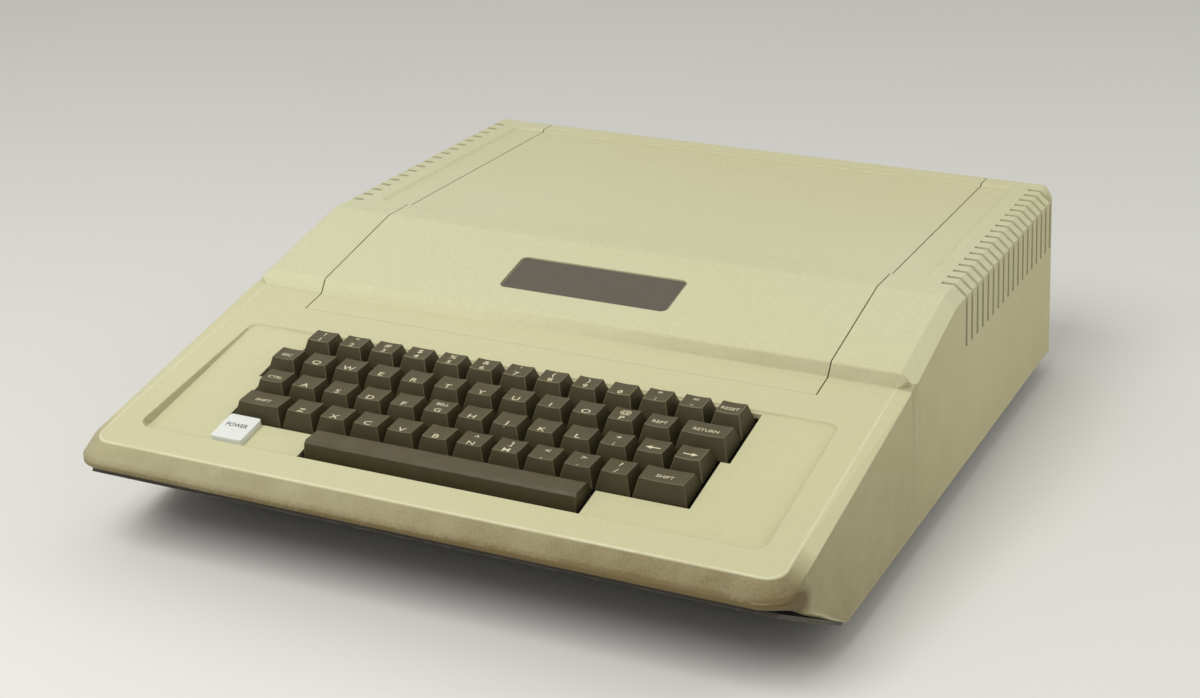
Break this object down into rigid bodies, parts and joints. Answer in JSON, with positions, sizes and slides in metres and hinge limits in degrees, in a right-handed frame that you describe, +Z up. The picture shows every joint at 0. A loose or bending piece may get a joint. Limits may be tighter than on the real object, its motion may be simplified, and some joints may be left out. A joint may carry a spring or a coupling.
{
  "type": "home computer",
  "caption": "One-piece home computer: sloping plastic case with built-in keyboard, vented sides and a lift-off lid over its card bay.",
  "frame": {"origin": "middle of the footprint, on the plane the feet stand on", "axes": "+X to the right as seen by the user at the keyboard, +Y to the rear, +Z up"},
  "size_m": [0.3874, 0.4572, 0.1143],
  "materials": {
    "case_plastic": "satin",
    "key_plastic": "satin",
    "black_plastic": "satin",
    "plate_paint": "satin",
    "base_paint": "satin",
    "rubber": "matte",
    "screw_steel": "satin",
    "key_plate_paint": "satin",
    "switch_plastic": "satin",
    "board": "glossy",
    "ribbon": "satin",
    "lamp_white": "satin",
    "lamp_bulb": "glossy",
    "slot_plastic": "satin",
    "jack_metal": "polished",
    "speaker_metal": "satin",
    "cone_paper": "matte",
    "supply_metal": "satin",
    "winding": "satin",
    "cable": "matte"
  },
  "bodies": {
    "housing": {"top_case": "case_plastic", "lid_catches": "black_plastic", "base_pan": "base_paint", "rubber_feet": "rubber", "base_screws": "screw_steel", "key_plate": "key_plate_paint", "key_switches": "switch_plastic", "keyboard_board": "board", "encoder_board": "board", "keyboard_ribbon": "ribbon", "keyboard_screws": "screw_steel", "power_lamp_cover": "lamp_white", "power_lamp": "lamp_bulb", "logic_board": "board", "card_slots": "slot_plastic", "processor_chip": "black_plastic", "memory_chips": "black_plastic", "logic_chips": "black_plastic", "game_socket": "black_plastic", "board_standoffs": "switch_plastic", "video_jack": "jack_metal", "cassette_jacks": "black_plastic", "speaker_frame": "speaker_metal", "speaker_cone": "cone_paper", "supply_box": "supply_metal", "supply_cover": "supply_metal", "supply_transformer": "winding", "supply_board": "board", "mains_inlet": "black_plastic", "switch_housing": "black_plastic", "wiring": "cable", "supply_screws": "screw_steel"},
    "lid": {"lid": "case_plastic", "name_plate": "plate_paint"},
    "rocker": {"power_rocker": "black_plastic"},
    "key_1_body": {"key_1": "key_plastic"},
    "key_2_body": {"key_2": "key_plastic"},
    "key_3_body": {"key_3": "key_plastic"},
    "key_4_body": {"key_4": "key_plastic"},
    "key_5_body": {"key_5": "key_plastic"},
    "key_6_body": {"key_6": "key_plastic"},
    "key_7_body": {"key_7": "key_plastic"},
    "key_8_body": {"key_8": "key_plastic"},
    "key_9_body": {"key_9": "key_plastic"},
    "key_0_body": {"key_0": "key_plastic"},
    "key_colon_body": {"key_colon": "key_plastic"},
    "key_minus_body": {"key_minus": "key_plastic"},
    "reset_key_body": {"reset_key": "key_plastic"},
    "escape_key_body": {"escape_key": "key_plastic"},
    "repeat_key_body": {"repeat_key": "key_plastic"},
    "return_key_body": {"return_key": "key_plastic"},
    "control_key_body": {"control_key": "key_plastic"},
    "left_arrow_key_body": {"left_arrow_key": "key_plastic"},
    "right_arrow_key_body": {"right_arrow_key": "key_plastic"},
    "left_shift_key_body": {"left_shift_key": "key_plastic"},
    "right_shift_key_body": {"right_shift_key": "key_plastic"},
    "space_bar_body": {"space_bar": "key_plastic"},
    "upper_letter_keys_body": {"upper_letter_keys": "key_plastic"},
    "home_letter_keys_body": {"home_letter_keys": "key_plastic"},
    "lower_letter_keys_body": {"lower_letter_keys": "key_plastic"}
  },
  "joints": [
    {"name": "lid_lift", "type": "slide", "parent": "housing", "child": "lid", "axis": [0, 0, 1], "range_m": [0, 0.12]},
    {"name": "rocker_turn", "type": "hinge", "parent": "housing", "child": "rocker", "pos_m": [-0.107, 0.2208, 0.044], "axis": [0, 0, 1], "range_deg": [0, 16]},
    {"name": "key_1_press", "type": "slide", "parent": "housing", "child": "key_1_body", "axis": [0, 0.2154, -0.9765], "range_m": [0, 0.0036], "stiffness_N_per_m": 150},
    {"name": "key_2_press", "type": "slide", "parent": "housing", "child": "key_2_body", "axis": [0, 0.2154, -0.9765], "range_m": [0, 0.0036], "stiffness_N_per_m": 150},
    {"name": "key_3_press", "type": "slide", "parent": "housing", "child": "key_3_body", "axis": [0, 0.2154, -0.9765], "range_m": [0, 0.0036], "stiffness_N_per_m": 150},
    {"name": "key_4_press", "type": "slide", "parent": "housing", "child": "key_4_body", "axis": [0, 0.2154, -0.9765], "range_m": [0, 0.0036], "stiffness_N_per_m": 150},
    {"name": "key_5_press", "type": "slide", "parent": "housing", "child": "key_5_body", "axis": [0, 0.2154, -0.9765], "range_m": [0, 0.0036], "stiffness_N_per_m": 150},
    {"name": "key_6_press", "type": "slide", "parent": "housing", "child": "key_6_body", "axis": [0, 0.2154, -0.9765], "range_m": [0, 0.0036], "stiffness_N_per_m": 150},
    {"name": "key_7_press", "type": "slide", "parent": "housing", "child": "key_7_body", "axis": [0, 0.2154, -0.9765], "range_m": [0, 0.0036], "stiffness_N_per_m": 150},
    {"name": "key_8_press", "type": "slide", "parent": "housing", "child": "key_8_body", "axis": [0, 0.2154, -0.9765], "range_m": [0, 0.0036], "stiffness_N_per_m": 150},
    {"name": "key_9_press", "type": "slide", "parent": "housing", "child": "key_9_body", "axis": [0, 0.2154, -0.9765], "range_m": [0, 0.0036], "stiffness_N_per_m": 150},
    {"name": "key_0_press", "type": "slide", "parent": "housing", "child": "key_0_body", "axis": [0, 0.2154, -0.9765], "range_m": [0, 0.0036], "stiffness_N_per_m": 150},
    {"name": "key_colon_press", "type": "slide", "parent": "housing", "child": "key_colon_body", "axis": [0, 0.2154, -0.9765], "range_m": [0, 0.0036], "stiffness_N_per_m": 150},
    {"name": "key_minus_press", "type": "slide", "parent": "housing", "child": "key_minus_body", "axis": [0, 0.2154, -0.9765], "range_m": [0, 0.0036], "stiffness_N_per_m": 150},
    {"name": "reset_key_press", "type": "slide", "parent": "housing", "child": "reset_key_body", "axis": [0, 0.2154, -0.9765], "range_m": [0, 0.0036], "stiffness_N_per_m": 150},
    {"name": "escape_key_press", "type": "slide", "parent": "housing", "child": "escape_key_body", "axis": [0, 0.2154, -0.9765], "range_m": [0, 0.0036], "stiffness_N_per_m": 150},
    {"name": "repeat_key_press", "type": "slide", "parent": "housing", "child": "repeat_key_body", "axis": [0, 0.2154, -0.9765], "range_m": [0, 0.0036], "stiffness_N_per_m": 150},
    {"name": "return_key_press", "type": "slide", "parent": "housing", "child": "return_key_body", "axis": [0, 0.2154, -0.9765], "range_m": [0, 0.0036], "stiffness_N_per_m": 150},
    {"name": "control_key_press", "type": "slide", "parent": "housing", "child": "control_key_body", "axis": [0, 0.2154, -0.9765], "range_m": [0, 0.0036], "stiffness_N_per_m": 150},
    {"name": "left_arrow_key_press", "type": "slide", "parent": "housing", "child": "left_arrow_key_body", "axis": [0, 0.2154, -0.9765], "range_m": [0, 0.0036], "stiffness_N_per_m": 150},
    {"name": "right_arrow_key_press", "type": "slide", "parent": "housing", "child": "right_arrow_key_body", "axis": [0, 0.2154, -0.9765], "range_m": [0, 0.0036], "stiffness_N_per_m": 150},
    {"name": "left_shift_key_press", "type": "slide", "parent": "housing", "child": "left_shift_key_body", "axis": [0, 0.2154, -0.9765], "range_m": [0, 0.0036], "stiffness_N_per_m": 150},
    {"name": "right_shift_key_press", "type": "slide", "parent": "housing", "child": "right_shift_key_body", "axis": [0, 0.2154, -0.9765], "range_m": [0, 0.0036], "stiffness_N_per_m": 150},
    {"name": "space_bar_press", "type": "slide", "parent": "housing", "child": "space_bar_body", "axis": [0, 0.2154, -0.9765], "range_m": [0, 0.0036], "stiffness_N_per_m": 200},
    {"name": "upper_letter_keys_press", "type": "slide", "parent": "housing", "child": "upper_letter_keys_body", "axis": [0, 0.2154, -0.9765], "range_m": [0, 0.0036], "stiffness_N_per_m": 1500},
    {"name": "home_letter_keys_press", "type": "slide", "parent": "housing", "child": "home_letter_keys_body", "axis": [0, 0.2154, -0.9765], "range_m": [0, 0.0036], "stiffness_N_per_m": 1500},
    {"name": "lower_letter_keys_press", "type": "slide", "parent": "housing", "child": "lower_letter_keys_body", "axis": [0, 0.2154, -0.9765], "range_m": [0, 0.0036], "stiffness_N_per_m": 1500}
  ]
}
